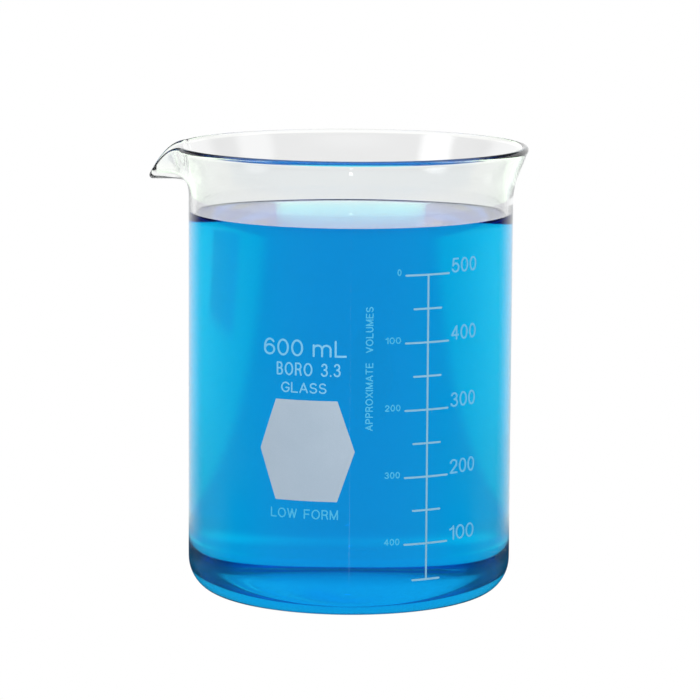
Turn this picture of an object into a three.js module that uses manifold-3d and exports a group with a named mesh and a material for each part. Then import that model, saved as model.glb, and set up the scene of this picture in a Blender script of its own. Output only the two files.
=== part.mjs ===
// Low-form 600 mL laboratory beaker with a blue water solution in it.
// Millimetres. The origin is the centre of the flat underside, +Z is up,
// the spout points towards -X and the printed face looks towards -Y.

import * as THREE from "three";
import { TessellateModifier } from "three/addons/modifiers/TessellateModifier.js";
import { mergeVertices } from "three/addons/utils/BufferGeometryUtils.js";
import Module from "manifold-3d";

const wasm = await Module();
wasm.setup();

// ---------------------------------------------------------------- driving dimensions

// Vessel
const BODY_RADIUS = 44;
const WALL = 1.9;
const FLOOR = 2;
const HEEL = { width: 7.8, height: 9 };
const INNER_HEEL = { width: 6.4, height: 7.4 };
const COLLAR_HEIGHT = 107;
const RIM_HEIGHT = 122;
const RIM_RADIUS = 48.1;
const RIM_BEAD = 1;
const TURN_STEPS = 84;
const HEEL_STEPS = 4;
const LIP_STEPS = 6;
const BEAD_STEPS = 4;

// Spout, measured at its centre line
const SPOUT_REACH = 54.7;
const SPOUT_HEIGHT = 114.4;
const SPOUT_AZIMUTH = 1.5 * Math.PI;
const SPOUT_HALF_ANGLE = THREE.MathUtils.degToRad(17.5);
const SPOUT_REACH_POWER = 1.2;
const SPOUT_DROOP_POWER = 2.2;

// Solution
const SOLUTION_LEVEL = 102.6;
const MENISCUS_RISE = 1.4;
const MENISCUS_LENGTH = 2.7;
const MENISCUS_REACH = 5.4;
const MENISCUS_STEPS = 4;
const MENISCUS_SPACING_POWER = 1.5;
const SOLUTION_GAP = 0.3;

// Enamel print, laid out on the outside of the wall: u runs round it, v is the height
const ENAMEL_GAP = 0.12;
const ENAMEL_THICKNESS = 0.25;
const ENAMEL_MAX_EDGE = 3;
const ENAMEL_SPLIT_PASSES = 12;
const HEIGHT_PRESS = 0.02;
const SPOT = { u: -11.6, v: 45.2, halfWidth: 13, halfFlat: 8.4, halfHeight: 13.4 };
const SCALE = { u: 21.2, top: 91.6, perHundred: 17.9, foot: 10.3, pen: 0.5 };
const MARK_HALF_LENGTH = { long: 6.35, short: 4 };
const RISING = { u: 28.5, cap: 3.9, pitch: 3.2, pen: 0.45 };
const FALLING = { right: 13.5, cap: 1.7, pitch: 1.48, pen: 0.3 };
const CAPACITY = { value: 600, u: -23.6, v: 70.2, cap: 4.45, pitch: 3.95, pen: 0.52 };
const CAPACITY_M_U = -9.8;
const CAPACITY_L_U = -4;
const NUMERALS = [500, 400, 300, 200, 100];
const NUMERAL_STEP = 100;
const MARK_STEP = 50;
const DIGIT_WIDTH = 0.6;
const PLACES = ["hundreds", "tens", "units"];
const ARC_STEPS = 5;
const RING_STEPS = 12;
const MITRE_LIMIT = 1.5;

// ---------------------------------------------------------------- materials

function material(color, roughness, opacity = 1) {
  return new THREE.MeshStandardMaterial({
    color,
    roughness,
    metalness: 0,
    opacity,
    transparent: opacity < 1,
  });
}

const glass = () => material(0xdfe6e8, 0.05, 0.3);
const solution = () => material(0x0b86d6, 0.05, 0.85);
const enamel = () => material(0xa9c8dc, 0.5);

// ---------------------------------------------------------------- shared helpers

const WELD_DISTANCE = 1e-4;
const beaker = new THREE.Group();

function add(name, geometry, finish) {
  geometry.computeVertexNormals();
  const mesh = new THREE.Mesh(geometry, finish);
  mesh.name = name;
  beaker.add(mesh);
}

function positionsOnly(geometry) {
  geometry.deleteAttribute("normal");
  geometry.deleteAttribute("uv");
  return mergeVertices(geometry, WELD_DISTANCE);
}

function toSolid(geometry) {
  const merged = positionsOnly(geometry);
  const vertProperties = new Float32Array(merged.attributes.position.array);
  const triVerts = new Uint32Array(merged.index.array);
  return new wasm.Manifold(new wasm.Mesh({ numProp: 3, vertProperties, triVerts }));
}

function toGeometry(solid) {
  const { vertProperties, triVerts } = solid.getMesh();
  const geometry = new THREE.BufferGeometry();
  geometry.setAttribute("position", new THREE.BufferAttribute(vertProperties, 3));
  geometry.setIndex(new THREE.BufferAttribute(triVerts, 1));
  return geometry;
}

function join(geometries) {
  return geometries.map(toSolid).reduce((whole, next) => whole.add(next));
}

// Turns an outline of [radius, height] points about the vertical axis.
function turned(outline) {
  const lathe = new THREE.LatheGeometry(outline, TURN_STEPS);
  return lathe.rotateX(Math.PI / 2);
}

// A quarter ellipse that rounds the corner between a wall and a floor, from the floor up.
function heelArc(radius, floor, { width, height }) {
  const arc = new THREE.EllipseCurve(
    radius - width, floor + height, width, height, -Math.PI / 2, 0, false
  );
  return arc.getPoints(HEEL_STEPS);
}

// ---------------------------------------------------------------- glass vessel

const MID_RADIUS = BODY_RADIUS - WALL / 2;

// Mid-wall lines from the collar to the edge: the plain flare, and the spout's centre.
const FLARE_LINE = [
  [MID_RADIUS, COLLAR_HEIGHT],
  [MID_RADIUS, 111.5],
  [44.6, 114.8],
  [RIM_RADIUS - RIM_BEAD, RIM_HEIGHT - RIM_BEAD],
];
const SPOUT_LINE = [
  [MID_RADIUS, COLLAR_HEIGHT],
  [MID_RADIUS, 113.9],
  [43.6, SPOUT_HEIGHT - RIM_BEAD],
  [SPOUT_REACH - RIM_BEAD, SPOUT_HEIGHT - RIM_BEAD],
];

// 1 on the spout's centre line, falling smoothly to 0 at its shoulders.
function spoutShare(azimuth) {
  const offset = Math.abs(azimuth - SPOUT_AZIMUTH) / SPOUT_HALF_ANGLE;
  return offset < 1 ? Math.cos(offset * Math.PI / 2) ** 2 : 0;
}

function lipLine(share) {
  const reach = share ** SPOUT_REACH_POWER;
  const droop = share ** SPOUT_DROOP_POWER;
  const control = FLARE_LINE.map(([radius, height], i) => new THREE.Vector2(
    THREE.MathUtils.lerp(radius, SPOUT_LINE[i][0], reach),
    THREE.MathUtils.lerp(height, SPOUT_LINE[i][1], droop)
  ));
  return new THREE.CubicBezierCurve(...control);
}

// The lip's two faces and its rounded edge, from the outer collar to the inner collar.
function lipOutline(share) {
  const middle = lipLine(share);
  const outer = [];
  const inner = [];
  for (let i = 0; i <= LIP_STEPS; i += 1) {
    const t = i / LIP_STEPS;
    const half = THREE.MathUtils.lerp(WALL / 2, RIM_BEAD, t);
    const point = middle.getPoint(t);
    const along = middle.getTangent(t);
    const outward = new THREE.Vector2(along.y, -along.x).multiplyScalar(half);
    outer.push(point.clone().add(outward));
    inner.unshift(point.clone().sub(outward));
  }
  return [...outer, ...beadOutline(middle), ...inner];
}

function beadOutline(middle) {
  const centre = middle.getPoint(1);
  const start = middle.getTangent(1).angle() - Math.PI / 2;
  const points = [];
  for (let i = 1; i < BEAD_STEPS; i += 1) {
    const angle = start + Math.PI * i / BEAD_STEPS;
    points.push(new THREE.Vector2(
      centre.x + RIM_BEAD * Math.cos(angle),
      centre.y + RIM_BEAD * Math.sin(angle)
    ));
  }
  return points;
}

function vesselOutline(share) {
  return [
    new THREE.Vector2(0, 0),
    ...heelArc(BODY_RADIUS, 0, HEEL),
    ...lipOutline(share),
    ...heelArc(BODY_RADIUS - WALL, FLOOR, INNER_HEEL).reverse(),
    new THREE.Vector2(0, FLOOR),
  ];
}

// A turned vessel whose edge is drawn out and down over the spout's angle.
function vesselGeometry() {
  const geometry = turned(vesselOutline(0));
  const position = geometry.attributes.position;
  for (let step = 0; step <= TURN_STEPS; step += 1) {
    const turn = 2 * Math.PI * step / TURN_STEPS;
    const outline = vesselOutline(spoutShare(turn));
    outline.forEach(({ x: radius, y: height }, i) => {
      const vertex = step * outline.length + i;
      position.setXYZ(vertex, radius * Math.sin(turn), -radius * Math.cos(turn), height);
    });
  }
  return positionsOnly(geometry);
}

// ---------------------------------------------------------------- solution

function solutionGeometry() {
  const radius = BODY_RADIUS - WALL - SOLUTION_GAP;
  const bottom = FLOOR + SOLUTION_GAP;
  const surface = [];
  for (let i = 0; i <= MENISCUS_STEPS; i += 1) {
    const inset = MENISCUS_REACH * (i / MENISCUS_STEPS) ** MENISCUS_SPACING_POWER;
    const rise = MENISCUS_RISE * Math.exp(-inset / MENISCUS_LENGTH);
    surface.push(new THREE.Vector2(radius - inset, SOLUTION_LEVEL + rise));
  }
  return positionsOnly(turned([
    new THREE.Vector2(0, bottom),
    ...heelArc(radius, bottom, INNER_HEEL),
    ...surface,
    new THREE.Vector2(0, SOLUTION_LEVEL),
  ]));
}

// ---------------------------------------------------------------- enamel lettering

// A stroke is a centre line drawn with a pen of even width; a ring closes on itself.
const line = (...corners) => ({ points: corners.map(([x, y]) => new THREE.Vector2(x, y)) });

function arc(x, y, rx, ry, fromDegrees, toDegrees) {
  const from = THREE.MathUtils.degToRad(fromDegrees);
  const to = THREE.MathUtils.degToRad(toDegrees);
  return new THREE.EllipseCurve(x, y, rx, ry, from, to, to < from).getPoints(ARC_STEPS);
}

function ring(x, y, rx, ry) {
  const turn = new THREE.EllipseCurve(x, y, rx, ry).getPoints(RING_STEPS);
  return { points: turn.slice(0, -1), closed: true };
}

function arch(left, width, top) {
  const shoulder = top - width / 2;
  const middle = left + width / 2;
  return {
    points: [
      new THREE.Vector2(left, 0),
      ...arc(middle, shoulder, width / 2, width / 2, 180, 0),
      new THREE.Vector2(left + width, 0),
    ],
  };
}

// Strokes of each character, on a cell one unit high.
const STROKES = {
  0: [ring(0.29, 0.5, 0.29, 0.5)],
  1: [line([0.08, 0.78], [0.3, 1], [0.3, 0])],
  2: [{
    points: [
      ...arc(0.29, 0.72, 0.27, 0.28, 175, -35),
      new THREE.Vector2(0, 0),
      new THREE.Vector2(0.58, 0),
    ],
  }],
  3: [
    { points: arc(0.28, 0.76, 0.24, 0.24, 165, -90) },
    { points: arc(0.28, 0.26, 0.29, 0.26, 90, -165) },
  ],
  4: [line([0.44, 0], [0.44, 1], [0, 0.3]), line([0, 0.3], [0.6, 0.3])],
  5: [{
    points: [
      new THREE.Vector2(0.54, 1),
      new THREE.Vector2(0.12, 1),
      ...arc(0.28, 0.31, 0.29, 0.31, 140, -160),
    ],
  }],
  6: [
    ring(0.29, 0.3, 0.29, 0.3),
    { points: [new THREE.Vector2(0, 0.3), ...arc(0.31, 0.5, 0.31, 0.5, 180, 40)] },
  ],
  m: [line([0, 0], [0, 0.72]), arch(0, 0.53, 0.72), arch(0.53, 0.53, 0.72)],
  L: [line([0, 1], [0, 0], [0.66, 0])],
};

// A flat film of enamel with the given outline.
function plate(shape) {
  return new THREE.ExtrudeGeometry(shape, { depth: ENAMEL_THICKNESS, bevelEnabled: false });
}

// How far the pen's edge lies from a corner of the centre line, cut short at sharp corners.
function edgeOffset(before, corner, after) {
  const into = corner.clone().sub(before).normalize();
  const outOf = after.clone().sub(corner).normalize();
  const across = into.clone().add(outOf).normalize();
  const stretch = Math.min(1 / across.dot(into), MITRE_LIMIT);
  return new THREE.Vector2(-across.y, across.x).multiplyScalar(stretch);
}

function penEdges({ points, closed = false }, pen) {
  const last = points.length - 1;
  const left = [];
  const right = [];
  points.forEach((corner, i) => {
    const atStart = i === 0;
    const atEnd = i === last;
    const next = points[closed ? (i + 1) % points.length : Math.min(i + 1, last)];
    const previous = points[closed ? (i + last) % points.length : Math.max(i - 1, 0)];
    const before = atStart && !closed ? corner.clone().multiplyScalar(2).sub(next) : previous;
    const after = atEnd && !closed ? corner.clone().multiplyScalar(2).sub(previous) : next;
    const offset = edgeOffset(before, corner, after).multiplyScalar(pen / 2);
    left.push(corner.clone().add(offset));
    right.push(corner.clone().sub(offset));
  });
  return { left, right };
}

function strokeGeometry(stroke, pen) {
  const { left, right } = penEdges(stroke, pen);
  const shape = new THREE.Shape(stroke.closed ? right : [...left, ...right.reverse()]);
  if (stroke.closed) {
    shape.holes.push(new THREE.Path(left));
  }
  return plate(shape);
}

function scaled(stroke, size, pen) {
  const points = stroke.points.map(
    (point) => point.clone().multiplyScalar(size - pen).addScalar(pen / 2)
  );
  return { ...stroke, points };
}

// Wraps a flat print, with u to the right and v upwards, round the outside of the wall.
// Only lengths along u bend, so heights are pressed small while long edges are split.
function wrapped(flat) {
  const pressed = flat.scale(1, HEIGHT_PRESS, 1);
  const fine = new TessellateModifier(ENAMEL_MAX_EDGE, ENAMEL_SPLIT_PASSES).modify(pressed);
  const geometry = mergeVertices(fine.scale(1, 1 / HEIGHT_PRESS, 1), WELD_DISTANCE);
  const position = geometry.attributes.position;
  for (let i = 0; i < position.count; i += 1) {
    const turn = position.getX(i) / BODY_RADIUS;
    const radius = BODY_RADIUS + ENAMEL_GAP + position.getZ(i);
    const height = position.getY(i);
    position.setXYZ(i, radius * Math.sin(turn), -radius * Math.cos(turn), height);
  }
  return geometry;
}

function addCharacter(name, character, u, v, cap, pen) {
  const strokes = STROKES[character].map((stroke) => scaled(stroke, cap, pen));
  const solid = join(strokes.map((stroke) => strokeGeometry(stroke, pen)));
  add(name, wrapped(toGeometry(solid).translate(u, v, 0)), enamel());
}

function addNumeral(prefix, value, left, v, { cap, pitch, pen }) {
  const digits = String(value);
  const places = PLACES.slice(PLACES.length - digits.length);
  places.forEach((place, i) => {
    addCharacter(`${prefix}_${value}_${place}`, digits[i], left + i * pitch, v, cap, pen);
  });
}

// ---------------------------------------------------------------- enamel print

const markHeight = (volume) => SCALE.top - (NUMERALS[0] - volume) / NUMERAL_STEP * SCALE.perHundred;

// Corners of one side of the scale, from its foot up: out along each mark and back.
function scaleSide() {
  const half = SCALE.pen / 2;
  const corners = [];
  for (let volume = MARK_STEP; volume <= NUMERALS[0]; volume += MARK_STEP) {
    const height = volume > MARK_STEP ? markHeight(volume) : SCALE.foot;
    const reach = volume % NUMERAL_STEP ? MARK_HALF_LENGTH.short : MARK_HALF_LENGTH.long;
    const mark = [[half, height - half], [reach, height - half]];
    mark.push([reach, height + half], [half, height + half]);
    const first = volume === MARK_STEP ? 1 : 0;
    const last = volume === NUMERALS[0] ? 3 : 4;
    corners.push(...mark.slice(first, last));
  }
  return corners;
}

// The upright line with a long mark at each hundred and a short one at each fifty.
function addScale() {
  const right = scaleSide();
  const left = right.map(([u, v]) => [-u, v]).reverse();
  const outline = new THREE.Shape([...right, ...left].map(([u, v]) => new THREE.Vector2(u, v)));
  const flat = positionsOnly(plate(outline)).translate(SCALE.u, 0, 0);
  add("graduation_scale", wrapped(flat), enamel());
}

function addMarkingSpot() {
  const { u, v, halfWidth, halfFlat, halfHeight } = SPOT;
  const outline = new THREE.Shape([
    new THREE.Vector2(-halfFlat, -halfHeight),
    new THREE.Vector2(halfFlat, -halfHeight),
    new THREE.Vector2(halfWidth, 0),
    new THREE.Vector2(halfFlat, halfHeight),
    new THREE.Vector2(-halfFlat, halfHeight),
    new THREE.Vector2(-halfWidth, 0),
  ]);
  const flat = positionsOnly(plate(outline)).translate(u, v, 0);
  add("marking_spot", wrapped(flat), enamel());
}

// Rising numbers say how much is in the beaker, falling ones how much has been poured out.
function addNumerals() {
  NUMERALS.forEach((volume) => {
    const height = markHeight(volume);
    const poured = NUMERALS[0] - volume;
    const width = (String(poured).length - 1) * FALLING.pitch + DIGIT_WIDTH * FALLING.cap;
    addNumeral("rising", volume, RISING.u, height, RISING);
    addNumeral("falling", poured, FALLING.right - width, height, FALLING);
  });
}

function addCapacity() {
  const { value, u, v, cap, pen } = CAPACITY;
  addNumeral("capacity", value, u, v, CAPACITY);
  addCharacter("capacity_letter_m", "m", CAPACITY_M_U, v, cap, pen);
  addCharacter("capacity_letter_l", "L", CAPACITY_L_U, v, cap, pen);
}

// ---------------------------------------------------------------- assembly

add("glass_vessel", vesselGeometry(), glass());
add("blue_solution", solutionGeometry(), solution());
addMarkingSpot();
addScale();
addNumerals();
addCapacity();

export default beaker;
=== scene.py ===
"""A low-form 600 mL laboratory beaker, three quarters and more full of a blue water solution.

The fine glass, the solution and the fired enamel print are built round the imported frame.
Lengths are in millimetres until a mesh is made, and in metres from then on.
"""

import math

import bmesh
import bpy
from mathutils import Matrix, Vector
from mathutils.geometry import delaunay_2d_cdt


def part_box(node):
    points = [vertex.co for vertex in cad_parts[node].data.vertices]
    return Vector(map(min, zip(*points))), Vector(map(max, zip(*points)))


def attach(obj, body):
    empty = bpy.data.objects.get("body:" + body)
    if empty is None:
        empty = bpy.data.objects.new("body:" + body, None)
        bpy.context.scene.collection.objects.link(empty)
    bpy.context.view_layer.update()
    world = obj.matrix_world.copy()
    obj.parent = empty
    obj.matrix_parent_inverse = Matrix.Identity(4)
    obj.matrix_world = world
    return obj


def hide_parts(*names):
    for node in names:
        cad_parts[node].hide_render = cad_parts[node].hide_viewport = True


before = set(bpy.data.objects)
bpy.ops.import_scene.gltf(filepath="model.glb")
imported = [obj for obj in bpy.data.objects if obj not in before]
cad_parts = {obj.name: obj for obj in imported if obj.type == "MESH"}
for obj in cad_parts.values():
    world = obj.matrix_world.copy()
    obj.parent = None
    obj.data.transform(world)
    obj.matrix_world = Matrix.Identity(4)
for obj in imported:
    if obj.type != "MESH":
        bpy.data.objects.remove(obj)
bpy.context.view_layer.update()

# ---------------------------------------------------------------- driving sizes, in millimetres

MM = 0.001

glass_low, glass_high = (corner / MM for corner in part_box("glass_vessel"))
liquid_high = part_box("blue_solution")[1] / MM

WALL = 1.9
FLOOR = 2.0
# A heel is a quarter ellipse: its width and its height.
HEEL = (7.8, 9.0)
INNER_HEEL = (6.4, 7.4)
# The wall is straight up to the collar, where the flare and the spout start.
COLLAR_HEIGHT = 107.0
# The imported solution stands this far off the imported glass.
SOLUTION_GAP = 0.3
BODY_RADIUS = liquid_high.x + SOLUTION_GAP + WALL
RIM_HEIGHT = glass_high.z
RIM_RADIUS = glass_high.x
RIM_BEAD = 1.0
SPOUT_REACH = -glass_low.x
SPOUT_HEIGHT = 114.4
SPOUT_AZIMUTH = 1.5 * math.pi
SPOUT_HALF_ANGLE = math.radians(17.5)
SPOUT_REACH_POWER = 1.2
SPOUT_DROOP_POWER = 2.2
BASE_HOLLOW = 0.4
HOLLOW_FLAT_RADIUS = 13.0

MENISCUS_RISE = 0.35
MENISCUS_LENGTH = 1.6
MENISCUS_REACH = 5 * MENISCUS_LENGTH
CONTACT_HEIGHT = liquid_high.z
SOLUTION_LEVEL = CONTACT_HEIGHT - MENISCUS_RISE
# Here the solution overlaps the glass a little, so that no air is left between them.
WETTING = 0.12

GLASS_IOR = 1.473
WATER_IOR = 1.333

TURN_STEPS = 288
HEEL_STEPS = 18
BASE_STEPS = 26
LIP_STEPS = 26
BEAD_STEPS = 12
WALL_STEPS = 30
DRY_WALL_STEPS = 4
MENISCUS_STEPS = 22
SURFACE_STEPS = 8

# The print stands just off the wall, and is cut into slices narrow enough to bend round it.
ENAMEL_GAP = 0.06
ENAMEL_THICKNESS = 0.12
ENAMEL_SLICE = 1.0

WHITE = (1.0, 1.0, 1.0, 1.0)
BLACK = (0.0, 0.0, 0.0, 1.0)


# ---------------------------------------------------------------- small helpers

def lerp(a, b, t):
    return a + (b - a) * t


def smoothstep(t):
    t = min(max(t, 0.0), 1.0)
    return t * t * (3.0 - 2.0 * t)


def on_wall(azimuth, radius, height):
    """A point at an angle round the axis: 0 is the printed front, a quarter turn is +X."""
    return Vector((radius * math.sin(azimuth), -radius * math.cos(azimuth), height)) * MM


def link(name, bm, *materials):
    """Puts a finished bmesh in the scene, as an object with its materials."""
    mesh = bpy.data.meshes.new(name)
    bm.to_mesh(mesh)
    bm.free()
    for material in materials:
        mesh.materials.append(material)
    piece = bpy.data.objects.new(name, mesh)
    bpy.context.scene.collection.objects.link(piece)
    return piece


# ---------------------------------------------------------------- node helpers

def new_nodes(tree):
    tree.nodes.clear()
    return tree.nodes, tree.links


def math_node(tree, operation, a, b=0.0):
    node = tree.nodes.new("ShaderNodeMath")
    node.operation = operation
    for socket, value in zip(node.inputs, (a, b)):
        plug(tree, value, socket)
    return node.outputs[0]


def plug(tree, value, socket):
    """Sets a socket to a plain value, or links an output to it."""
    if isinstance(value, bpy.types.NodeSocket):
        tree.links.new(value, socket)
    else:
        socket.default_value = value


def ramp_between(tree, value, low, high, to_low=0.0, to_high=1.0):
    node = tree.nodes.new("ShaderNodeMapRange")
    node.interpolation_type = "SMOOTHSTEP"
    plug(tree, value, node.inputs["Value"])
    node.inputs["From Min"].default_value = low
    node.inputs["From Max"].default_value = high
    node.inputs["To Min"].default_value = to_low
    node.inputs["To Max"].default_value = to_high
    return node.outputs["Result"]


NOISE_ROUGHNESS = 0.55


def noise_node(tree, scale, detail, stretch=(1.0, 1.0, 1.0)):
    """Cloudy noise in the object's own coordinates, which are metres."""
    place = tree.nodes.new("ShaderNodeTexCoord")
    mapping = tree.nodes.new("ShaderNodeMapping")
    mapping.inputs["Scale"].default_value = stretch
    clouds = tree.nodes.new("ShaderNodeTexNoise")
    clouds.inputs["Scale"].default_value = scale
    clouds.inputs["Detail"].default_value = detail
    clouds.inputs["Roughness"].default_value = NOISE_ROUGHNESS
    tree.links.new(place.outputs["Object"], mapping.inputs["Vector"])
    tree.links.new(mapping.outputs["Vector"], clouds.inputs["Vector"])
    return clouds.outputs["Fac"]


def bump_node(tree, height, distance):
    bump = tree.nodes.new("ShaderNodeBump")
    bump.inputs["Strength"].default_value = 1.0
    bump.inputs["Distance"].default_value = distance
    tree.links.new(height, bump.inputs["Height"])
    return bump.outputs["Normal"]


# The Mix node has a set of sockets for each kind of value: these are the colour ones.
MIX_SHARE, MIX_LOW, MIX_HIGH = 0, 6, 7
MIX_RESULT = 2


def mix_colour(tree, share, low, high):
    node = tree.nodes.new("ShaderNodeMix")
    node.data_type = "RGBA"
    plug(tree, share, node.inputs[MIX_SHARE])
    plug(tree, low, node.inputs[MIX_LOW])
    plug(tree, high, node.inputs[MIX_HIGH])
    return node.outputs[MIX_RESULT]


def new_material(name):
    material = bpy.data.materials.new(name)
    material.use_nodes = True
    nodes, links = new_nodes(material.node_tree)
    shader = nodes.new("ShaderNodeBsdfPrincipled")
    output = nodes.new("ShaderNodeOutputMaterial")
    links.new(shader.outputs["BSDF"], output.inputs["Surface"])
    return material, material.node_tree, shader, output


def absorb(tree, output, colour, density):
    volume = tree.nodes.new("ShaderNodeVolumeAbsorption")
    volume.inputs["Color"].default_value = (*colour, 1.0)
    volume.inputs["Density"].default_value = density
    tree.links.new(volume.outputs["Volume"], output.inputs["Volume"])


# ---------------------------------------------------------------- materials

# Noise scales are per metre, bump heights are in metres.
GLASS_TINTS = ((0.955, 0.96, 0.96, 1.0), (0.975, 0.98, 0.98, 1.0))
HAZE_SCALE = 38.0
WAVE_SCALE = 22.0
WAVE_STRETCH = (1.0, 1.0, 0.35)
WAVE_HEIGHT = 0.00025
# A faint painted blue glow on the heel's thick glass, an emission, fades out between these heights.
PAINTED_HEEL_GLOW = (0.003, 0.026, 0.044, 1.0)
PAINTED_HEEL_GLOW_FADE = (0.008, 0.013)


def glass_material(name, shine):
    """Clear borosilicate: hardly any colour, with the faint drawing waves of a blown wall."""
    material, tree, shader, _ = new_material(name)
    shader.inputs["Roughness"].default_value = 0.0
    shader.inputs["IOR"].default_value = GLASS_IOR
    shader.inputs["Specular Tint"].default_value = shine
    shader.inputs["Transmission Weight"].default_value = 1.0
    haze = noise_node(tree, HAZE_SCALE, detail=4.0)
    tree.links.new(mix_colour(tree, haze, *GLASS_TINTS), shader.inputs["Base Color"])
    waves = noise_node(tree, WAVE_SCALE, detail=1.0, stretch=WAVE_STRETCH)
    tree.links.new(bump_node(tree, waves, WAVE_HEIGHT), shader.inputs["Normal"])
    return material


def wetted_glass_material():
    """The glass where the solution wets it: it hardly shines, and its thick heel has a painted blue
    glow.
    """
    material = glass_material("borosilicate_glass_wetted", BLACK)
    tree = material.node_tree
    shader = next(node for node in tree.nodes if node.type == "BSDF_PRINCIPLED")
    place = tree.nodes.new("ShaderNodeTexCoord")
    split = tree.nodes.new("ShaderNodeSeparateXYZ")
    tree.links.new(place.outputs["Object"], split.inputs["Vector"])
    # Painted light: a blue glow on the heel, emitted and fading out upwards.
    shader.inputs["Emission Color"].default_value = PAINTED_HEEL_GLOW
    painted_glow_share = ramp_between(tree, split.outputs["Z"], *PAINTED_HEEL_GLOW_FADE, 1.0, 0.0)
    tree.links.new(painted_glow_share, shader.inputs["Emission Strength"])
    return material


DYE_COLOUR = (0.0, 0.849, 0.958)
DYE_DENSITY = 100.0
WATER_TINTS = ((0.975, 0.985, 1.0, 1.0), WHITE)
SWIRL_SCALE = 30.0


def solution_material():
    """Water with a blue dye: red is all gone within a centimetre or two, blue hardly at all.

    Against the glass it barely shines, so it has none of the reflection that air would give it.
    """
    material, tree, shader, output = new_material("blue_dyed_water")
    shader.inputs["Roughness"].default_value = 0.0
    shader.inputs["IOR"].default_value = WATER_IOR
    shader.inputs["Specular Tint"].default_value = BLACK
    shader.inputs["Transmission Weight"].default_value = 1.0
    swirl = noise_node(tree, SWIRL_SCALE, detail=2.0)
    tree.links.new(mix_colour(tree, swirl, *WATER_TINTS), shader.inputs["Base Color"])
    absorb(tree, output, DYE_COLOUR, DYE_DENSITY)
    return material


# The finer the print, the thinner its film: the darker and bluer its white, and the bluer its
# painted glow.
ENAMELS = {
    "spot": {
        "tints": ((0.40, 0.50, 0.60, 1.0), (0.44, 0.54, 0.64, 1.0)),
        "grain": 5200.0,
        "glow": BLACK,
    },
    "scale": {
        "tints": ((0.25, 0.38, 0.42, 1.0), (0.29, 0.42, 0.46, 1.0)),
        "grain": 4200.0,
        "glow": (0.0, 0.13, 0.26, 1.0),
    },
    "bold": {
        "tints": ((0.16, 0.32, 0.38, 1.0), (0.20, 0.36, 0.42, 1.0)),
        "grain": 4200.0,
        "glow": (0.0, 0.19, 0.40, 1.0),
    },
    "fine": {
        "tints": ((0.06, 0.26, 0.33, 1.0), (0.08, 0.29, 0.36, 1.0)),
        "grain": 4200.0,
        "glow": (0.0, 0.20, 0.42, 1.0),
    },
}
CLOUD_SCALE = 60.0
UNEVEN_RANGE = (0.72, 1.28)
SPECK_RANGE = (0.3, 0.7)
ENAMEL_ROUGHNESS = (0.42, 0.6)
TOOTH_HEIGHT = 0.00004


def enamel_material(kind):
    """Fired white enamel: a thin matt film, a little uneven, with a fine screen-print tooth.

    A painted blue glow, an emission, stands in for the lit solution shining through the thinner
    print.
    """
    look = ENAMELS[kind]
    material, tree, shader, _ = new_material(f"fired_enamel_{kind}")
    # Painted light: the print's blue glow is an emission, as strong under any lamp.
    shader.inputs["Emission Color"].default_value = look["glow"]
    shader.inputs["Emission Strength"].default_value = 1.0
    shader.inputs["Specular IOR Level"].default_value = 0.35
    cloud = noise_node(tree, CLOUD_SCALE, detail=5.0)
    specks = noise_node(tree, look["grain"], detail=2.0)
    uneven = ramp_between(tree, math_node(tree, "ADD", specks, cloud), *UNEVEN_RANGE)
    tree.links.new(mix_colour(tree, uneven, *look["tints"]), shader.inputs["Base Color"])
    matt = ramp_between(tree, specks, *SPECK_RANGE, *ENAMEL_ROUGHNESS)
    tree.links.new(matt, shader.inputs["Roughness"])
    tree.links.new(bump_node(tree, specks, TOOTH_HEIGHT), shader.inputs["Normal"])
    return material


# ---------------------------------------------------------------- turned shapes

def heel_arc(radius, floor, size):
    """The quarter ellipse between a floor and a wall, from the floor up."""
    width, height = size
    points = []
    for i in range(HEEL_STEPS + 1):
        angle = math.pi / 2 * i / HEEL_STEPS
        across = radius - width + width * math.sin(angle)
        up = floor + height - height * math.cos(angle)
        points.append((across, up))
    return points


def spout_share(azimuth):
    """1 on the spout's centre line, falling smoothly to 0 at its shoulders."""
    offset = abs(azimuth - SPOUT_AZIMUTH) / SPOUT_HALF_ANGLE
    return math.cos(offset * math.pi / 2) ** 2 if offset < 1 else 0.0


# Control points (radius, height) of the lip's middle line: round the rim, and at the spout.
MID_RADIUS = BODY_RADIUS - WALL / 2
FLARE_LINE = (
    (MID_RADIUS, COLLAR_HEIGHT),
    (MID_RADIUS, 111.5),
    (44.6, 114.8),
    (RIM_RADIUS - RIM_BEAD, RIM_HEIGHT - RIM_BEAD),
)
SPOUT_LINE = (
    (MID_RADIUS, COLLAR_HEIGHT),
    (MID_RADIUS, 113.9),
    (43.6, SPOUT_HEIGHT - RIM_BEAD),
    (SPOUT_REACH - RIM_BEAD, SPOUT_HEIGHT - RIM_BEAD),
)


def lip_controls(share):
    reach = share ** SPOUT_REACH_POWER
    droop = share ** SPOUT_DROOP_POWER
    return [
        Vector((lerp(flare[0], spout[0], reach), lerp(flare[1], spout[1], droop)))
        for flare, spout in zip(FLARE_LINE, SPOUT_LINE)
    ]


def bezier(controls, t):
    a, b, c, d = controls
    s = 1.0 - t
    point = a * s ** 3 + b * (3 * s * s * t) + c * (3 * s * t * t) + d * t ** 3
    along = (b - a) * (3 * s * s) + (c - b) * (6 * s * t) + (d - c) * (3 * t * t)
    return point, along.normalized()


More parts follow.
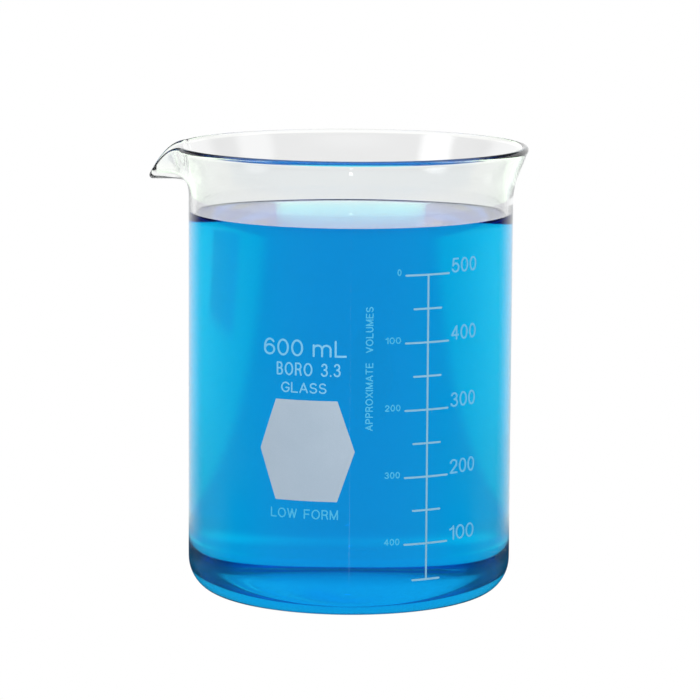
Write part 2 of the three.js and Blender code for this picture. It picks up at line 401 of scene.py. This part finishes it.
def lip_outline(share):
    """The lip's outer face, its rounded edge and its inner face, as (radius, height) points."""
    controls = lip_controls(share)
    outer = []
    inner = []
    for i in range(LIP_STEPS + 1):
        t = i / LIP_STEPS
        half = lerp(WALL / 2, RIM_BEAD, t)
        point, along = bezier(controls, t)
        outward = Vector((along.y, -along.x)) * half
        outer.append(tuple(point + outward))
        inner.append(tuple(point - outward))
    end, along = bezier(controls, 1.0)
    start = math.atan2(along.y, along.x) - math.pi / 2
    bead = []
    for i in range(1, BEAD_STEPS):
        angle = start + math.pi * i / BEAD_STEPS
        bead.append((end.x + RIM_BEAD * math.cos(angle), end.y + RIM_BEAD * math.sin(angle)))
    return outer + bead + inner[::-1]


def between(start, end, steps):
    """Points strictly between two (radius, height) points."""
    return [
        (lerp(start[0], end[0], i / steps), lerp(start[1], end[1], i / steps))
        for i in range(1, steps)
    ]


def pushed_up(level, edge):
    """A floor from the axis to its edge, pushed up in the middle so the beaker stands on a ring."""
    standing_radius = BODY_RADIUS - HEEL[0]
    points = []
    for i in range(BASE_STEPS):
        radius = edge * i / BASE_STEPS
        share = (standing_radius - radius) / (standing_radius - HOLLOW_FLAT_RADIUS)
        points.append((radius, level + BASE_HOLLOW * smoothstep(share)))
    return points


def vessel_outline(azimuth):
    """The dry outline down to the solution's edge, then the wetted one, as two lists."""
    outer_heel = heel_arc(BODY_RADIUS, 0.0, HEEL)
    inner_heel = heel_arc(BODY_RADIUS - WALL, FLOOR, INNER_HEEL)[::-1]
    lip = lip_outline(spout_share(azimuth))
    contact = (BODY_RADIUS - WALL, CONTACT_HEIGHT)
    dry = pushed_up(0.0, BODY_RADIUS - HEEL[0]) + outer_heel
    dry += between(outer_heel[-1], lip[0], WALL_STEPS)
    dry += lip
    dry += between(lip[-1], contact, DRY_WALL_STEPS)
    wet = [contact, *between(contact, inner_heel[0], WALL_STEPS)]
    wet += inner_heel
    wet += pushed_up(FLOOR, inner_heel[-1][0])[::-1]
    return dry, wet


def solution_outline(_azimuth):
    """The outline against the glass and then of the free surface, all of one material."""
    radius = BODY_RADIUS - WALL + WETTING
    bottom = FLOOR - WETTING
    heel = heel_arc(radius, bottom, INNER_HEEL)
    surface = []
    for i in range(MENISCUS_STEPS + 1):
        inset = MENISCUS_REACH * (i / MENISCUS_STEPS) ** 2
        rise = MENISCUS_RISE * math.exp(-inset / MENISCUS_LENGTH)
        surface.append((radius - inset, SOLUTION_LEVEL + rise))
    touching = pushed_up(bottom, heel[0][0]) + heel
    touching += between(heel[-1], surface[0], WALL_STEPS)
    surface += between(surface[-1], (0.0, SOLUTION_LEVEL), SURFACE_STEPS)
    surface.append((0.0, SOLUTION_LEVEL))
    return touching + surface, []


def turned(outline_at):
    """A closed solid whose outline, from axis to axis, may change with the angle.

    The outline comes in two stretches, which get the first and the second material.
    """
    bm = bmesh.new()
    stretches = [outline_at(2 * math.pi * step / TURN_STEPS) for step in range(TURN_STEPS)]
    outlines = [first_part + second_part for first_part, second_part in stretches]
    second_start = len(stretches[0][0])
    first = bm.verts.new(on_wall(0.0, 0.0, outlines[0][0][1]))
    last = bm.verts.new(on_wall(0.0, 0.0, outlines[0][-1][1]))
    columns = []
    for step, outline in enumerate(outlines):
        azimuth = 2 * math.pi * step / TURN_STEPS
        ring_points = [on_wall(azimuth, radius, height) for radius, height in outline[1:-1]]
        column = [bm.verts.new(point) for point in ring_points]
        columns.append([first, *column, last])
    for step, column in enumerate(columns):
        following = columns[(step + 1) % TURN_STEPS]
        for i in range(len(column) - 1):
            # Beside the axis two corners are the same, and fromkeys keeps one of them.
            corners = dict.fromkeys((column[i], following[i], following[i + 1], column[i + 1]))
            face = bm.faces.new(corners)
            face.smooth = True
            face.material_index = int(i >= second_start)
    bmesh.ops.recalc_face_normals(bm, faces=bm.faces)
    return bm


# ---------------------------------------------------------------- strokes of the lettering
# Each character is drawn with a round pen, on a cell one unit high with its foot at 0, 0.

ARC_STEPS = 14
RING_STEPS = 36


def arc(x, y, across, up, start, end):
    points = []
    for i in range(ARC_STEPS + 1):
        angle = math.radians(lerp(start, end, i / ARC_STEPS))
        points.append((x + across * math.cos(angle), y + up * math.sin(angle)))
    return points


def ring(x, y, across, up):
    turn = [2 * math.pi * i / RING_STEPS for i in range(RING_STEPS + 1)]
    return [(x + across * math.cos(angle), y + up * math.sin(angle)) for angle in turn]


def arch(left, width, top):
    half = width / 2
    return [(left, 0), *arc(left + half, top - half, half, half, 180, 0), (left + width, 0)]


BOWL = [(0, 0), (0, 1), (0.28, 1), *arc(0.28, 0.74, 0.26, 0.26, 90, -90), (0, 0.48)]

STROKES = {
    "0": [ring(0.29, 0.5, 0.29, 0.5)],
    "1": [[(0, 0.76), (0.2, 0.86), (0.27, 1), (0.27, 0)]],
    "2": [[*arc(0.29, 0.72, 0.27, 0.28, 170, -35), (0, 0), (0.58, 0)]],
    "3": [arc(0.28, 0.76, 0.24, 0.24, 160, -90), arc(0.28, 0.26, 0.29, 0.26, 90, -160)],
    "4": [[(0.44, 0), (0.44, 1), (0, 0.3), (0.6, 0.3)]],
    "5": [[(0.52, 1), (0.1, 1), (0.04, 0.47), *arc(0.28, 0.32, 0.29, 0.32, 125, -155)]],
    "6": [ring(0.29, 0.31, 0.29, 0.31), [(0, 0.31), *arc(0.31, 0.5, 0.31, 0.5, 175, 42)]],
    ".": [[(0, 0), (0, 0.03)]],
    "A": [[(0, 0), (0.34, 1), (0.68, 0)], [(0.12, 0.33), (0.56, 0.33)]],
    "B": [
        [(0, 0.52), (0.26, 0.52), *arc(0.26, 0.76, 0.23, 0.24, -90, 90), (0, 1), (0, 0)],
        [(0, 0), (0.28, 0), *arc(0.28, 0.26, 0.26, 0.26, -90, 90)],
    ],
    "E": [[(0.52, 1), (0, 1), (0, 0), (0.53, 0)], [(0, 0.53), (0.48, 0.53)]],
    "F": [[(0.52, 1), (0, 1), (0, 0)], [(0, 0.5), (0.44, 0.5)]],
    "G": [[*arc(0.38, 0.5, 0.38, 0.5, 35, 325), (0.7, 0.44), (0.42, 0.44)]],
    "I": [[(0, 0), (0, 1)]],
    "L": [[(0, 1), (0, 0), (0.52, 0)]],
    "M": [[(0, 0), (0, 1), (0.36, 0.02), (0.72, 1), (0.72, 0)]],
    "O": [ring(0.38, 0.5, 0.38, 0.5)],
    "P": [BOWL],
    "R": [BOWL, [(0.28, 0.48), (0.44, 0.42), (0.56, 0)]],
    "S": [[*arc(0.29, 0.75, 0.26, 0.25, 25, 270), *arc(0.29, 0.25, 0.29, 0.25, 90, -160)]],
    "T": [[(0, 1), (0.6, 1)], [(0.3, 1), (0.3, 0)]],
    "U": [[(0, 1), *arc(0.28, 0.3, 0.28, 0.3, 180, 360), (0.56, 1)]],
    "V": [[(0, 1), (0.32, 0), (0.64, 1)]],
    "W": [[(0, 1), (0.23, 0), (0.46, 1), (0.69, 0), (0.92, 1)]],
    "X": [[(0, 0), (0.62, 1)], [(0, 1), (0.62, 0)]],
    "m": [[(0, 0), (0, 0.72)], arch(0, 0.53, 0.72), arch(0.53, 0.53, 0.72)],
}
WORD_SPACE = 0.3
LETTER_GAP = 0.15
NIB_STEPS = 10
SHARP_TURN = math.radians(25)
POINT_DECIMALS = 5


def stroke_width(character):
    if character == " ":
        return WORD_SPACE
    return max(u for stroke in STROKES[character] for u, _ in stroke)


def pen_shapes(points, pen):
    """The areas a round pen covers: a strip for each step, and a disc at ends and corners."""
    shapes = []
    half = pen / 2
    rounded = [(round(u, POINT_DECIMALS), round(v, POINT_DECIMALS)) for u, v in points]
    points = [Vector(point) for point in dict.fromkeys(rounded)]
    if rounded[0] == rounded[-1]:
        points.append(points[0])
    for here, there in zip(points, points[1:]):
        along = (there - here).normalized()
        side = Vector((-along.y, along.x)) * half
        shapes.append([here + side, here - side, there - side, there + side])
    for before, corner, after in zip([None, *points], points, [*points[1:], None]):
        bends = before is None or after is None
        bends = bends or (corner - before).angle(after - corner) > SHARP_TURN
        if bends:
            turns = [2 * math.pi * i / NIB_STEPS for i in range(NIB_STEPS)]
            shapes.append([corner + Vector((math.cos(t), math.sin(t))) * half for t in turns])
        else:
            shapes.append([corner + turn * half for turn in wedge(before, corner, after)])
    return shapes


def wedge(before, corner, after):
    """Unit offsets that fill the gap between two strips of a gentle bend, on both sides."""
    into = (corner - before).normalized()
    out_of = (after - corner).normalized()
    return [Vector((-into.y, into.x)), Vector((-out_of.y, out_of.x)),
            Vector((into.y, -into.x)), Vector((out_of.y, -out_of.x))]


def letter_shapes(text, cap, length, pen):
    """Flat shapes of a line of text, its letters widened or narrowed to fill the given length."""
    size = cap - pen
    gap = LETTER_GAP * cap
    widths = [stroke_width(character) for character in text]
    spare = length - pen * len(text) - gap * (len(text) - 1)
    stretch = spare / sum(widths)
    shapes = []
    left = pen / 2
    for character, width in zip(text, widths):
        for stroke in STROKES.get(character, ()):
            placed = [(left + u * stretch, pen / 2 + v * size) for u, v in stroke]
            shapes += pen_shapes(placed, pen)
        left += width * stretch + pen + gap
    return shapes


# ---------------------------------------------------------------- enamel print
# Print is laid out flat, u to the right and v upwards in millimetres, then wrapped on the wall.

WELD_DISTANCE = 1e-4
CUT_TOLERANCE = 1e-5


def counterclockwise(shape):
    """The shape's corners with its inside on their left, whichever way they came."""
    pairs = zip(shape, [*shape[1:], shape[0]])
    doubled_area = sum(a.x * b.y - b.x * a.y for a, b in pairs)
    return shape if doubled_area > 0 else shape[::-1]


def moved(shapes, u, v, upright=False):
    """The shapes put at (u, v); upright turns a line of text to read from the bottom up."""
    if upright:
        shapes = [[Vector((-point.y, point.x)) for point in shape] for shape in shapes]
    return [[point + Vector((u, v)) for point in shape] for shape in shapes]


def film_of(shapes):
    """One flat closed film that covers all the shapes."""
    shapes = [counterclockwise(shape) for shape in shapes]
    corners = [point for shape in shapes for point in shape]
    rims = []
    first = 0
    for shape in shapes:
        rims.append(list(range(first, first + len(shape))))
        first += len(shape)
    points, _, faces, _, _, sources = delaunay_2d_cdt(corners, [], rims, 0, WELD_DISTANCE)
    bm = bmesh.new()
    verts = [bm.verts.new((point.x, point.y, 0.0)) for point in points]
    for face, source in zip(faces, sources):
        if source:
            bm.faces.new([verts[i] for i in face])
    loose = [vert for vert in bm.verts if not vert.link_faces]
    bmesh.ops.delete(bm, geom=loose, context="VERTS")
    grown = bmesh.ops.extrude_face_region(bm, geom=bm.faces[:])
    raised = [item for item in grown["geom"] if isinstance(item, bmesh.types.BMVert)]
    bmesh.ops.translate(bm, verts=raised, vec=(0.0, 0.0, ENAMEL_THICKNESS))
    return bm


def wrapped(bm):
    """Slices a flat film along u and bends it round the outside of the wall."""
    low = min(vert.co.x for vert in bm.verts)
    high = max(vert.co.x for vert in bm.verts)
    cut = math.ceil(low / ENAMEL_SLICE) * ENAMEL_SLICE
    while cut < high:
        bmesh.ops.bisect_plane(
            bm,
            geom=[*bm.verts, *bm.edges, *bm.faces],
            dist=CUT_TOLERANCE,
            plane_co=(cut, 0.0, 0.0),
            plane_no=(1.0, 0.0, 0.0),
        )
        cut += ENAMEL_SLICE
    for vert in bm.verts:
        radius = BODY_RADIUS + ENAMEL_GAP + vert.co.z
        vert.co = on_wall(vert.co.x / BODY_RADIUS, radius, vert.co.y)
    bmesh.ops.recalc_face_normals(bm, faces=bm.faces)
    return bm


SPOT = {"u": -11.6, "v": 45.2, "half_width": 13.0, "half_flat": 8.4, "half_height": 13.4}
# The lowest mark is at the foot of the scale, a little under where even steps would put it.
SCALE = {"u": 21.2, "top": 91.6, "per_hundred": 17.9, "foot": 10.3, "pen": 0.5}
MARK_HALF_LENGTH = {"long": 6.35, "short": 4.0}
MARK_STEP = 50
NUMERAL_STEP = 100
NUMERALS = (500, 400, 300, 200, 100)
FULL_SCALE = NUMERALS[0]
PLACES = ("hundreds", "tens", "units")
RISING = {"u": 28.5, "cap": 3.9, "length": 9.0, "pen": 0.47}
FALLING = {"right": 13.5, "cap": 1.75, "length": 4.2, "zero_length": 1.1, "pen": 0.28}
CAPACITY = {"value": 600, "v": 70.2, "cap": 4.45, "pen": 0.52}
# Where each part of the capacity line starts, and its length.
CAPACITY_LINE = {"600": (-23.6, 11.2), "m": (-9.8, 5.0), "L": (-4.0, 3.2)}


def mark_height(volume):
    return SCALE["top"] - (FULL_SCALE - volume) / NUMERAL_STEP * SCALE["per_hundred"]


def spot_shapes():
    across, flat, up = SPOT["half_width"], SPOT["half_flat"], SPOT["half_height"]
    corners = ((-flat, -up), (flat, -up), (across, 0), (flat, up), (-flat, up), (-across, 0))
    return [[Vector((SPOT["u"] + u, SPOT["v"] + v)) for u, v in corners]]


def scale_shapes():
    """The upright line with a long mark at each hundred and a short one at each fifty."""
    pen = SCALE["pen"]
    u = SCALE["u"]
    shapes = pen_shapes([(u, SCALE["foot"]), (u, SCALE["top"])], pen)
    for volume in range(MARK_STEP, FULL_SCALE + 1, MARK_STEP):
        height = SCALE["foot"] if volume == MARK_STEP else mark_height(volume)
        reach = MARK_HALF_LENGTH["short" if volume % NUMERAL_STEP else "long"]
        shapes += pen_shapes([(u - reach, height), (u + reach, height)], pen)
    return shapes


def print_piece(name, shapes, material, *nodes):
    """One deposit of enamel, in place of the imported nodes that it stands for."""
    piece = link(name, wrapped(film_of(shapes)), material)
    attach(piece, "root")
    if nodes:
        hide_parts(*nodes)


def numeral_nodes(prefix, value):
    digits = str(value)
    return [f"{prefix}_{value}_{place}" for place in PLACES[-len(digits):]]


def print_numerals(bold, fine):
    """Rising numbers say how much is in the beaker, falling ones how much has been poured out."""
    for volume in NUMERALS:
        height = mark_height(volume)
        rising = letter_shapes(str(volume), RISING["cap"], RISING["length"], RISING["pen"])
        rising = moved(rising, RISING["u"], height)
        nodes = numeral_nodes("rising", volume)
        print_piece(f"enamel_rising_{volume}", rising, bold, *nodes)
        poured = FULL_SCALE - volume
        length = FALLING["length"] if poured else FALLING["zero_length"]
        falling = letter_shapes(str(poured), FALLING["cap"], length, FALLING["pen"])
        falling = moved(falling, FALLING["right"] - length, height)
        nodes = numeral_nodes("falling", poured)
        print_piece(f"enamel_falling_{poured}", falling, fine, *nodes)


def capacity_shapes(text):
    u, length = CAPACITY_LINE[text]
    return moved(letter_shapes(text, CAPACITY["cap"], length, CAPACITY["pen"]), u, CAPACITY["v"])


def print_capacity(material):
    number = capacity_shapes(str(CAPACITY["value"]))
    nodes = numeral_nodes("capacity", CAPACITY["value"])
    print_piece("enamel_capacity_number", number, material, *nodes)
    unit = capacity_shapes("m") + capacity_shapes("L")
    print_piece("enamel_capacity_unit", unit, material, "capacity_letter_m", "capacity_letter_l")


# Plain words that a maker's own lines would be: u and v of the foot, capital height, length, pen.
WORDS = {
    "glass_grade": ("BORO 3.3", -19.8, 65.05, 3.5, 17.4, 0.42),
    "glass_word": ("GLASS", -18.5, 60.5, 2.8, 12.4, 0.36),
    "form_word": ("LOW FORM", -21.4, 27.0, 2.6, 18.5, 0.34),
}
# The upright legend beside the scale: its line, and each word's start and length.
LEGEND = {"u": 6.1, "cap": 2.0, "pen": 0.28}
LEGEND_WORDS = {"APPROXIMATE": (50.8, 18.0), "VOLUMES": (71.5, 12.1)}


def print_words(bold, fine):
    for name, (text, u, v, cap, length, pen) in WORDS.items():
        shapes = moved(letter_shapes(text, cap, length, pen), u, v)
        print_piece(f"enamel_{name}", shapes, fine if name == "form_word" else bold)
    for text, (start, length) in LEGEND_WORDS.items():
        shapes = letter_shapes(text, LEGEND["cap"], length, LEGEND["pen"])
        shapes = moved(shapes, LEGEND["u"], start, upright=True)
        print_piece(f"enamel_legend_{text.lower()}", shapes, fine)


def make_print():
    spot, scale, bold, fine = (enamel_material(kind) for kind in ENAMELS)
    print_piece("enamel_marking_spot", spot_shapes(), spot, "marking_spot")
    print_piece("enamel_scale", scale_shapes(), scale, "graduation_scale")
    print_numerals(bold, fine)
    print_capacity(bold)
    print_words(bold, fine)


# ---------------------------------------------------------------- the object

def make_vessel():
    dry = glass_material("borosilicate_glass", WHITE)
    piece = link("beaker_glass", turned(vessel_outline), dry, wetted_glass_material())
    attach(piece, "root")
    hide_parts("glass_vessel")


def make_solution():
    piece = link("dyed_water", turned(solution_outline), solution_material())
    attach(piece, "root")
    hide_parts("blue_solution")


# ---------------------------------------------------------------- stage, light and camera

FLOOR_HALF_SIZE = 4.0
FLOOR_CELLS = 8
FLOOR_DROP = 0.0002
# Bearings are taken from an apex this far in front of the object's axis.
WEDGE_APEX = 0.06
# How bright the table is to light that comes through the glass: in a lane behind the object,
# just beside that lane, well beside it, and beyond FAR_FADE from the middle. The lane starts
# LANE_START wide each way and spreads by LANE_SPREAD for each metre back.
LANE_GLOW = (1.05, 1.05, 1.03, 1.0)
BESIDE_GLOW = (1.1, 1.28, 1.08, 1.0)
SIDE_GLOW = (1.45, 1.7, 1.38, 1.0)
FAR_GLOW = (0.915, 0.915, 0.915, 1.0)
LANE_START = 0.03
LANE_SPREAD = 0.21
LANE_EDGE = (0.88, 1.14)
SIDE_FADE = (0.1, 0.9)
FAR_FADE = (0.82, 0.87)
# A dimmer strip that runs away to the right, and a bright spot close behind the object. The
# strip's middle and half width are bearings: sideways for each metre back from the apex.
STRIP_GLOW = (1.05, 1.14, 1.1, 1.0)
STRIP = {"middle": 0.46, "half_width": 0.13, "core": 0.7, "start": 0.45, "fade": 0.03}
NEAR_SPOT = {"y": 0.072, "radius": 0.026, "glow": (1.6, 1.75, 1.3, 1.0)}
# Under the object and in front of it the table has the solution's blue light and shade painted on:
# a painted blue glow through the glass, and a painted shadow, nearly black, in reflections.
PAINTED_FOOT_GLOW = (0.02, 0.68, 0.85, 1.0)
FOOT_EDGE = (-0.03, 0.02)
FOOT_RADIUS = (0.16, 0.26)
PAINTED_FOOT_SHADOW = (0.01, 0.05, 0.09, 1.0)
PAINTED_FOOT_SHADOW_RADIUS = (0.075, 0.13)
# How bright it is in reflections: a wedge behind the object, outside that wedge, and in front.
WEDGE_GLOW = (0.90, 0.92, 0.92, 1.0)
WEDGE_EDGE = (0.4, 1.2)
MIRRORED_FAR_FADE = (0.93, 1.0)
MIRRORED_GLOW = (0.03, 0.04, 0.06, 1.0)
FRONT_GLOW = (0.14, 0.14, 0.15, 1.0)
FRONT_EDGE = (-0.85, -0.3)
# Keeps a divisor above zero in front of the object.
SMALLEST_REACH = 0.001


def lane_share(tree, across, back):
    """0 in the lane that widens away behind the object, 1 beside it."""
    half = math_node(tree, "ADD", math_node(tree, "MULTIPLY", back, LANE_SPREAD), LANE_START)
    half = math_node(tree, "MAXIMUM", half, SMALLEST_REACH)
    return ramp_between(tree, math_node(tree, "DIVIDE", across, half), *LANE_EDGE)


def bearing_of(tree, sideways, back):
    """How far to the side a place is, for each metre back from the apex."""
    reach = math_node(tree, "ADD", back, WEDGE_APEX)
    reach = math_node(tree, "MAXIMUM", reach, SMALLEST_REACH)
    return math_node(tree, "DIVIDE", sideways, reach)


def wedge_share(tree, across, back, edge):
    """0 in a wedge that opens behind the object, 1 outside it."""
    return ramp_between(tree, bearing_of(tree, across, back), *edge)


def strip_share(tree, x, back):
    """1 in the strip that runs away behind the object on one side, with soft edges."""
    offset = math_node(tree, "SUBTRACT", bearing_of(tree, x, back), STRIP["middle"])
    offset = math_node(tree, "ABSOLUTE", offset)
    half = STRIP["half_width"]
    inside = ramp_between(tree, offset, half * STRIP["core"], half, 1.0, 0.0)
    start, fade = STRIP["start"], STRIP["fade"]
    beyond = ramp_between(tree, back, start - fade, start + fade)
    return math_node(tree, "MULTIPLY", inside, beyond)


def near_spot_share(tree, place):
    """1 in the middle of the bright spot, 0 outside it."""
    gap = tree.nodes.new("ShaderNodeVectorMath")
    gap.operation = "DISTANCE"
    gap.inputs[1].default_value = (0.0, NEAR_SPOT["y"], 0.0)
    tree.links.new(place, gap.inputs[0])
    return ramp_between(tree, gap.outputs["Value"], 0.0, NEAR_SPOT["radius"], 1.0, 0.0)


def table_through_glass(tree, place, x, across, back, away):
    """The table's colour to light that comes through the glass."""
    glow = mix_colour(tree, wedge_share(tree, across, back, SIDE_FADE), BESIDE_GLOW, SIDE_GLOW)
    glow = mix_colour(tree, lane_share(tree, across, back), LANE_GLOW, glow)
    glow = mix_colour(tree, strip_share(tree, x, back), glow, STRIP_GLOW)
    glow = mix_colour(tree, near_spot_share(tree, place), glow, NEAR_SPOT["glow"])
    glow = mix_colour(tree, ramp_between(tree, away, *FAR_FADE), glow, FAR_GLOW)
    # Painted blue light from the solution on the table under and in front of the object.
    behind = ramp_between(tree, back, *FOOT_EDGE)
    outside = ramp_between(tree, away, *FOOT_RADIUS)
    return mix_colour(tree, math_node(tree, "MAXIMUM", behind, outside), PAINTED_FOOT_GLOW, glow)


def table_mirrored(tree, across, back, away):
    """The table's colour in reflections."""
    facing = ramp_between(tree, math_node(tree, "DIVIDE", back, away), *FRONT_EDGE)
    glow = mix_colour(tree, facing, FRONT_GLOW, MIRRORED_GLOW)
    glow = mix_colour(tree, wedge_share(tree, across, back, WEDGE_EDGE), WEDGE_GLOW, glow)
    glow = mix_colour(tree, ramp_between(tree, away, *MIRRORED_FAR_FADE), glow, FAR_GLOW)
    # Painted shadow round the object's foot, nearly black, in reflections.
    return mix_colour(tree, ramp_between(tree, away, *PAINTED_FOOT_SHADOW_RADIUS), PAINTED_FOOT_SHADOW, glow)


def floor_material():
    """A plain white table to the eye, bright through the glass and dim in its reflections."""
    material = bpy.data.materials.new("pale_table")
    material.use_nodes = True
    tree = material.node_tree
    nodes, links = new_nodes(tree)
    place = nodes.new("ShaderNodeTexCoord").outputs["Object"]
    split = nodes.new("ShaderNodeSeparateXYZ")
    links.new(place, split.inputs["Vector"])
    x, back = split.outputs["X"], split.outputs["Y"]
    across = math_node(tree, "ABSOLUTE", x)
    length = nodes.new("ShaderNodeVectorMath")
    length.operation = "LENGTH"
    links.new(place, length.inputs[0])
    away = length.outputs["Value"]
    through = table_through_glass(tree, place, x, across, back, away)
    mirrored = table_mirrored(tree, across, back, away)
    ray = nodes.new("ShaderNodeLightPath").outputs
    glow = mix_colour(tree, ray["Is Transmission Ray"], mirrored, through)
    glow = mix_colour(tree, ray["Is Camera Ray"], glow, WHITE)
    shine = nodes.new("ShaderNodeEmission")
    links.new(glow, shine.inputs["Color"])
    output = nodes.new("ShaderNodeOutputMaterial")
    links.new(shine.outputs["Emission"], output.inputs["Surface"])
    return material


def make_floor():
    bm = bmesh.new()
    bmesh.ops.create_grid(
        bm, x_segments=FLOOR_CELLS, y_segments=FLOOR_CELLS, size=FLOOR_HALF_SIZE
    )
    floor = link("table_top", bm, floor_material())
    floor.location.z = -FLOOR_DROP


def direction(azimuth, elevation):
    """A unit direction: azimuth from the viewer's side towards +X, elevation up, in degrees."""
    turn, rise = math.radians(azimuth), math.radians(elevation)
    level = math.cos(rise)
    return Vector((level * math.sin(turn), -level * math.cos(turn), math.sin(rise)))


# How far back a direction points, and how strong the light from there is.
BACKWARD_EDGE = (-0.1, 0.6)
BACKWARD_STRENGTH = (0.7, 1.08)
# Between the light behind the table and the light overhead is a dark ring: sines of elevation.
DARK_RING_START = (0.28, 0.36)
DARK_RING_END = (0.58, 0.66)
DARK_RING_SHARE = 0.1
OVERHEAD = 1.1
# Soft patches of light: azimuth, elevation, half angle of the bright part, of the whole, strength.
SOFT_LIGHTS = (
    (77, 28, 7, 17, 1.4),
    (-67, 28, 6, 15, 3.0),
)


def make_world():
    """Pure white to the eye. As a light it is dim on the viewer's side, with two soft patches."""
    world = bpy.data.worlds.new("white_studio")
    world.use_nodes = True
    bpy.context.scene.world = world
    tree = world.node_tree
    nodes, links = new_nodes(tree)
    place = nodes.new("ShaderNodeTexCoord")
    split = nodes.new("ShaderNodeSeparateXYZ")
    links.new(place.outputs["Generated"], split.inputs["Vector"])
    strength = ramp_between(tree, split.outputs["Y"], *BACKWARD_EDGE, *BACKWARD_STRENGTH)
    low = ramp_between(tree, split.outputs["Z"], *DARK_RING_START, 1.0, DARK_RING_SHARE)
    overhead = ramp_between(tree, split.outputs["Z"], *DARK_RING_END, 0.0, OVERHEAD)
    strength = math_node(tree, "MAXIMUM", math_node(tree, "MULTIPLY", strength, low), overhead)
    for azimuth, elevation, bright, whole, power in SOFT_LIGHTS:
        toward = nodes.new("ShaderNodeVectorMath")
        toward.operation = "DOT_PRODUCT"
        toward.inputs[1].default_value = direction(azimuth, elevation)
        links.new(place.outputs["Generated"], toward.inputs[0])
        edge, core = math.cos(math.radians(whole)), math.cos(math.radians(bright))
        patch = ramp_between(tree, toward.outputs["Value"], edge, core, 0.0, power)
        strength = math_node(tree, "ADD", strength, patch)
    seen = nodes.new("ShaderNodeLightPath").outputs["Is Camera Ray"]
    background = nodes.new("ShaderNodeBackground")
    background.inputs["Color"].default_value = WHITE
    links.new(math_node(tree, "MAXIMUM", strength, seen), background.inputs["Strength"])
    output = nodes.new("ShaderNodeOutputWorld")
    links.new(background.outputs["Background"], output.inputs["Surface"])


AIM = Vector((0.0, 0.0, 0.06))
LAMP = {"size": 0.05, "energy": 6.0, "elevation": 17, "distance": 1.05}


def make_lights():
    """One small lamp over the camera, which leaves the small white glints."""
    lamp = bpy.data.lights.new("camera_lamp", "AREA")
    lamp.shape = "DISK"
    lamp.size = LAMP["size"]
    lamp.energy = LAMP["energy"]
    holder = bpy.data.objects.new("camera_lamp", lamp)
    holder.location = AIM + direction(0, LAMP["elevation"]) * LAMP["distance"]
    holder.rotation_euler = (AIM - holder.location).to_track_quat("-Z", "Y").to_euler()
    bpy.context.scene.collection.objects.link(holder)


CAMERA_PLACE = Vector((0.0, -1.0323, 0.2198))
CAMERA_PITCH = math.radians(8.491)
CAMERA_ROLL = 0.006
CAMERA_LENS = 196.7
SENSOR_WIDTH = 36.0


def make_camera():
    lens = bpy.data.cameras.new("photo_camera")
    lens.lens = CAMERA_LENS
    lens.sensor_width = SENSOR_WIDTH
    camera = bpy.data.objects.new("photo_camera", lens)
    tilt = Matrix.Rotation(math.pi / 2 - CAMERA_PITCH, 4, "X")
    roll = Matrix.Rotation(CAMERA_ROLL, 4, "Z")
    camera.matrix_world = Matrix.Translation(CAMERA_PLACE) @ tilt @ roll
    bpy.context.scene.collection.objects.link(camera)
    bpy.context.scene.camera = camera


def set_view_and_bounces():
    """Plain colours, and enough bounces for light to cross glass and solution many times."""
    scene = bpy.context.scene
    scene.view_settings.view_transform = "Standard"
    scene.cycles.max_bounces = 40
    scene.cycles.glossy_bounces = 30
    scene.cycles.transmission_bounces = 40


make_camera()
make_world()
make_lights()
make_floor()
make_vessel()
make_solution()
make_print()
set_view_and_bounces()
